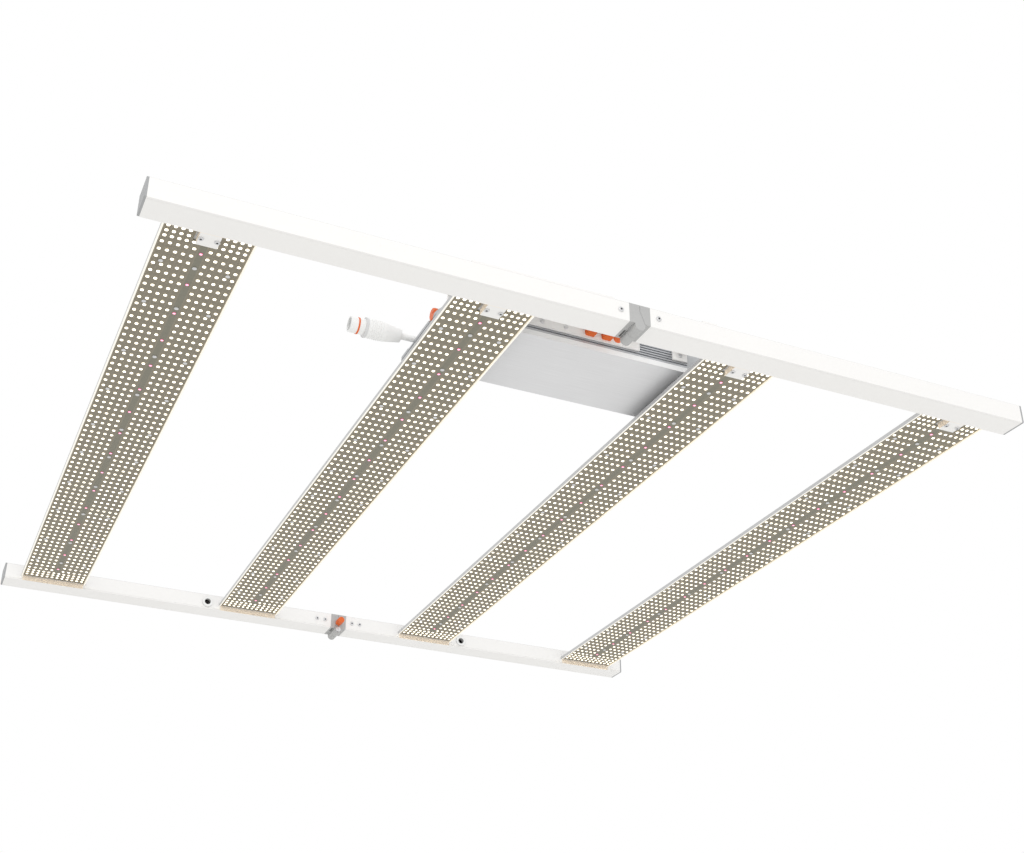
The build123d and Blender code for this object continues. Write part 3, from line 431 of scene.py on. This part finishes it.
row_pitch = 0.014
column_pitch = 0.0084
close_row_pitch = 0.00935
close_column_pitch = 0.00764
close_start = board_high.y - 0.0276
tab_row = close_start + close_row_pitch
for number in (1, 2, 3, 4):
    low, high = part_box(f"led_board_{number}")
    bar_x = (low.x + high.x) / 2
    main = led_rows(bar_x, (0.0086, row_pitch / 2), 5, column_pitch, 34, row_pitch, both_ends=True)
    far_rows = led_rows(bar_x, (0.0038, close_start), 6, close_column_pitch, 3, close_row_pitch)
    near_row = led_rows(bar_x, (0.0038, -close_start), 6, close_column_pitch, 1, -close_row_pitch)
    tab_rows = led_rows(bar_x, (0.0191, -tab_row), 4, close_column_pitch, 2, -close_row_pitch)
    half = "left_half" if number < 3 else "right_half"
    settle(f"white_leds_{number}", [main, far_rows, near_row, tab_rows], half, "board_mask")
bpy.data.objects.remove(led)

# Red LEDs: magenta packages with a clear pink dome, lit, at even steps along the middle of each
# board. The dome is turned out of the package's top face.
red_wall = surface("red_led_wall", (0.80, 0.12, 0.28), 0.06, 0.3, grain=2000)
pink_dome = surface("pink_dome", (0.95, 0.42, 0.55), 0.06, 0.2, grain=2000)
pink_glow = pink_dome.node_tree.nodes["Principled BSDF"]
pink_glow.inputs["Emission Color"].default_value = (1.0, 0.42, 0.58, 1)
pink_glow.inputs["Emission Strength"].default_value = 1.1
own_bars = {"left": (1, 2), "right": (3, 4)}
chip_size = 0.0035
chip_height = 0.0005
chip_count = 16
for side, numbers in own_bars.items():
    low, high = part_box(f"red_leds_{side}")
    chips = []
    for number in numbers:
        board_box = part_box(f"led_board_{number}")
        bar_x = (board_box[0].x + board_box[1].x) / 2
        first_y = low.y + chip_size / 2
        bpy.ops.mesh.primitive_cube_add(size=1, location=(bar_x, first_y, face_z - chip_height / 2))
        chip = bpy.context.object
        chip.scale = (chip_size, chip_size, chip_height)
        bpy.ops.mesh.primitive_uv_sphere_add(segments=14, ring_count=8, radius=0.0017,
                                             location=(bar_x, first_y, face_z - chip_height))
        bead = bpy.context.object
        bead.scale.z = 0.28
        bpy.ops.object.shade_smooth()
        for piece in (chip, bead):
            piece.data.materials.append(red_wall)
            piece.data.materials.append(pink_dome)
        bead.data.polygons.foreach_set("material_index", [1] * len(bead.data.polygons))
        pick(chip, bead)
        bpy.ops.object.join()
        bpy.ops.object.transform_apply(location=True, rotation=True, scale=True)
        repeat(chip, chip_count, (0, (high.y - low.y - chip_size) / (chip_count - 1), 0))
        chips.append(chip)
    red_chips = settle(f"red_chips_{side}", chips, f"{side}_half", "red_led")
    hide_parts(f"red_leds_{side}")

# Screw recesses: thin dark hexagon discs on the heads of the frame's screws, in the tabs under the
# bars and in the hinge leaves' faces, painted shade where the hexagon sockets are dark inside.
# Painted shade: a near-black finish for the flat discs that stand in for the sockets' dark hollows.
painted_socket_shade = surface("painted_socket_shade", (0.03, 0.03, 0.032), 0.2, 0.6, grain=2600)
rail_low, rail_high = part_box("rail_near_left")
sockets = {"left": [], "right": []}
hex_places = []
tab_screw_y = 0.0101
tab_head = 0.00128
head = 0.00158
outer_head = 0.001565
leaf_screw_z = -0.012
upright = (math.pi / 2, 0, 0)
for side, sign in (("left", -1), ("right", 1)):
    for number in own_bars[side]:
        board_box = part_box(f"led_board_{number}")
        bar_x = (board_box[0].x + board_box[1].x) / 2
        for offset in (-0.0085, 0.0085):
            place = (bar_x + offset, rail_high.y + tab_screw_y, rail_low.z - tab_head)
            hex_places.append((side, place, (0, 0, 0)))
    for end_sign in (-1, 1):
        outer_y = end_sign * (outer_head - rail_low.y)
        inner_y = -end_sign * (rail_high.y + head)
        for x, y in ((0.024, outer_y), (0.024, inner_y), (0.038, inner_y)):
            hex_places.append((side, (sign * x, y, leaf_screw_z), upright))
for side, place, turned in hex_places:
    bpy.ops.mesh.primitive_cylinder_add(vertices=6, radius=0.0014, depth=0.00008, location=place,
                                        rotation=turned)
    sockets[side].append(bpy.context.object)
for side in sockets:
    settle(f"screw_sockets_{side}", sockets[side], f"{side}_half", "steel", painted_socket_shade)

# Cable bushings and the plug's shell: white moulded plastic. The bushings snap into the rails, and
# the shell has raised rings to grip behind its light grey collar.
white_moulding = surface("white_moulding", (0.86, 0.86, 0.85), 0.03, 0.4, grain=1500, bump=0.08)
finish(white_moulding, "connector_body", "connector_nose")
bushing_white = surface("bushing_white", (0.84, 0.84, 0.83), 0.03, 0.4, grain=1500, bump=0.08)
# Painted shade: the bushings' faces turned away from their axis, the rims, are greyed so the flange
# reads outlined.
bushing_normal = coordinate(bushing_white, "Normal")
along_axis = math_node(bushing_white, "ABSOLUTE", bushing_normal[1])
rim = math_node(bushing_white, "LESS_THAN", along_axis, 0.5)
shade(bushing_white, rim, (0.50, 0.50, 0.50), 0.7)
finish(bushing_white, "cable_bushings_left", "cable_bushings_right")
body_low, body_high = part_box("connector_body")
shell_radius = (body_high.z - body_low.z) / 2
rings = []
ring_pitch = 0.0026
for number in range(6):
    ring_x = body_low.x + 0.004 + number * ring_pitch
    bpy.ops.mesh.primitive_torus_add(location=(ring_x, lead_axis_y, lead_axis_z),
                                     rotation=(0, math.pi / 2, 0), major_radius=shell_radius,
                                     minor_radius=0.0006, major_segments=40, minor_segments=8)
    bpy.ops.object.shade_smooth()
    rings.append(bpy.context.object)
settle("connector_rings", rings, "left_half", "white_plastic", white_moulding)
finish(surface("light_grey_nylon", (0.66, 0.66, 0.66), 0.05, 0.4, grain=1800, bump=0.1),
       "connector_collar", "input_gland")
finish(surface("grey_nylon", (0.27, 0.275, 0.28), 0.06, 0.45, grain=1800, bump=0.1),
       "control_sockets", "connector_insert")
finish(surface("orange_rubber", (0.74, 0.135, 0.02), 0.08, 0.65, grain=1800, bump=0.15),
       "port_caps", "connector_seal")

# Driver: a brushed base plate with painted shadow darkening its right end and painted highlight on its
# long edges, an extruded housing and two cast end covers. The circuit inside is only glimpsed through
# the lead's entry.
base_low, base_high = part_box("driver_base")
plate = surface("brushed_plate", (0.72, 0.72, 0.73), 0.05, 0.55, metallic=0.15, grain=900, bump=0.1,
                stretch=(0.02, 1, 1))
plate_x = coordinate(plate)[0]
# Painted shadow: the last 30 mm of the plate darken towards its right end, where shade falls over the
# bar beside it.
plate_end_shadow = plate.node_tree.nodes.new("ShaderNodeMapRange")
plate_end_shadow.inputs["From Min"].default_value = base_high.x - 0.03
plate_end_shadow.inputs["From Max"].default_value = base_high.x
link(plate, plate_x, plate_end_shadow.inputs["Value"])
shade(plate, plate_end_shadow.outputs["Result"], (0.45, 0.45, 0.46), 0.25)
# Painted highlight: the plate's faces turned along Y, its long edges, are lightened to near white.
plate_side_highlight = math_node(plate, "ABSOLUTE", coordinate(plate, "Normal")[1])
shade(plate, math_node(plate, "GREATER_THAN", plate_side_highlight, 0.5), (0.93, 0.93, 0.93))
finish(plate, "driver_base")
finish(surface("anodised_housing", (0.50, 0.51, 0.53), 0.06, 0.42, metallic=0.6, grain=900,
               bump=0.1, stretch=(0.02, 1, 1)), "driver_housing")
finish(surface("cast_end", (0.50, 0.51, 0.52), 0.08, 0.5, metallic=0.5, grain=2200, bump=0.25),
       "driver_end_left", "driver_end_right")
finish(surface("green_circuit", (0.02, 0.12, 0.05), 0.2, 0.4, grain=400), "driver_board")
finish(surface("varnished_core", (0.05, 0.05, 0.055), 0.2, 0.5, grain=900), "transformer")
finish(surface("capacitor_sleeve", (0.02, 0.025, 0.05), 0.1, 0.25, grain=900), "capacitors")
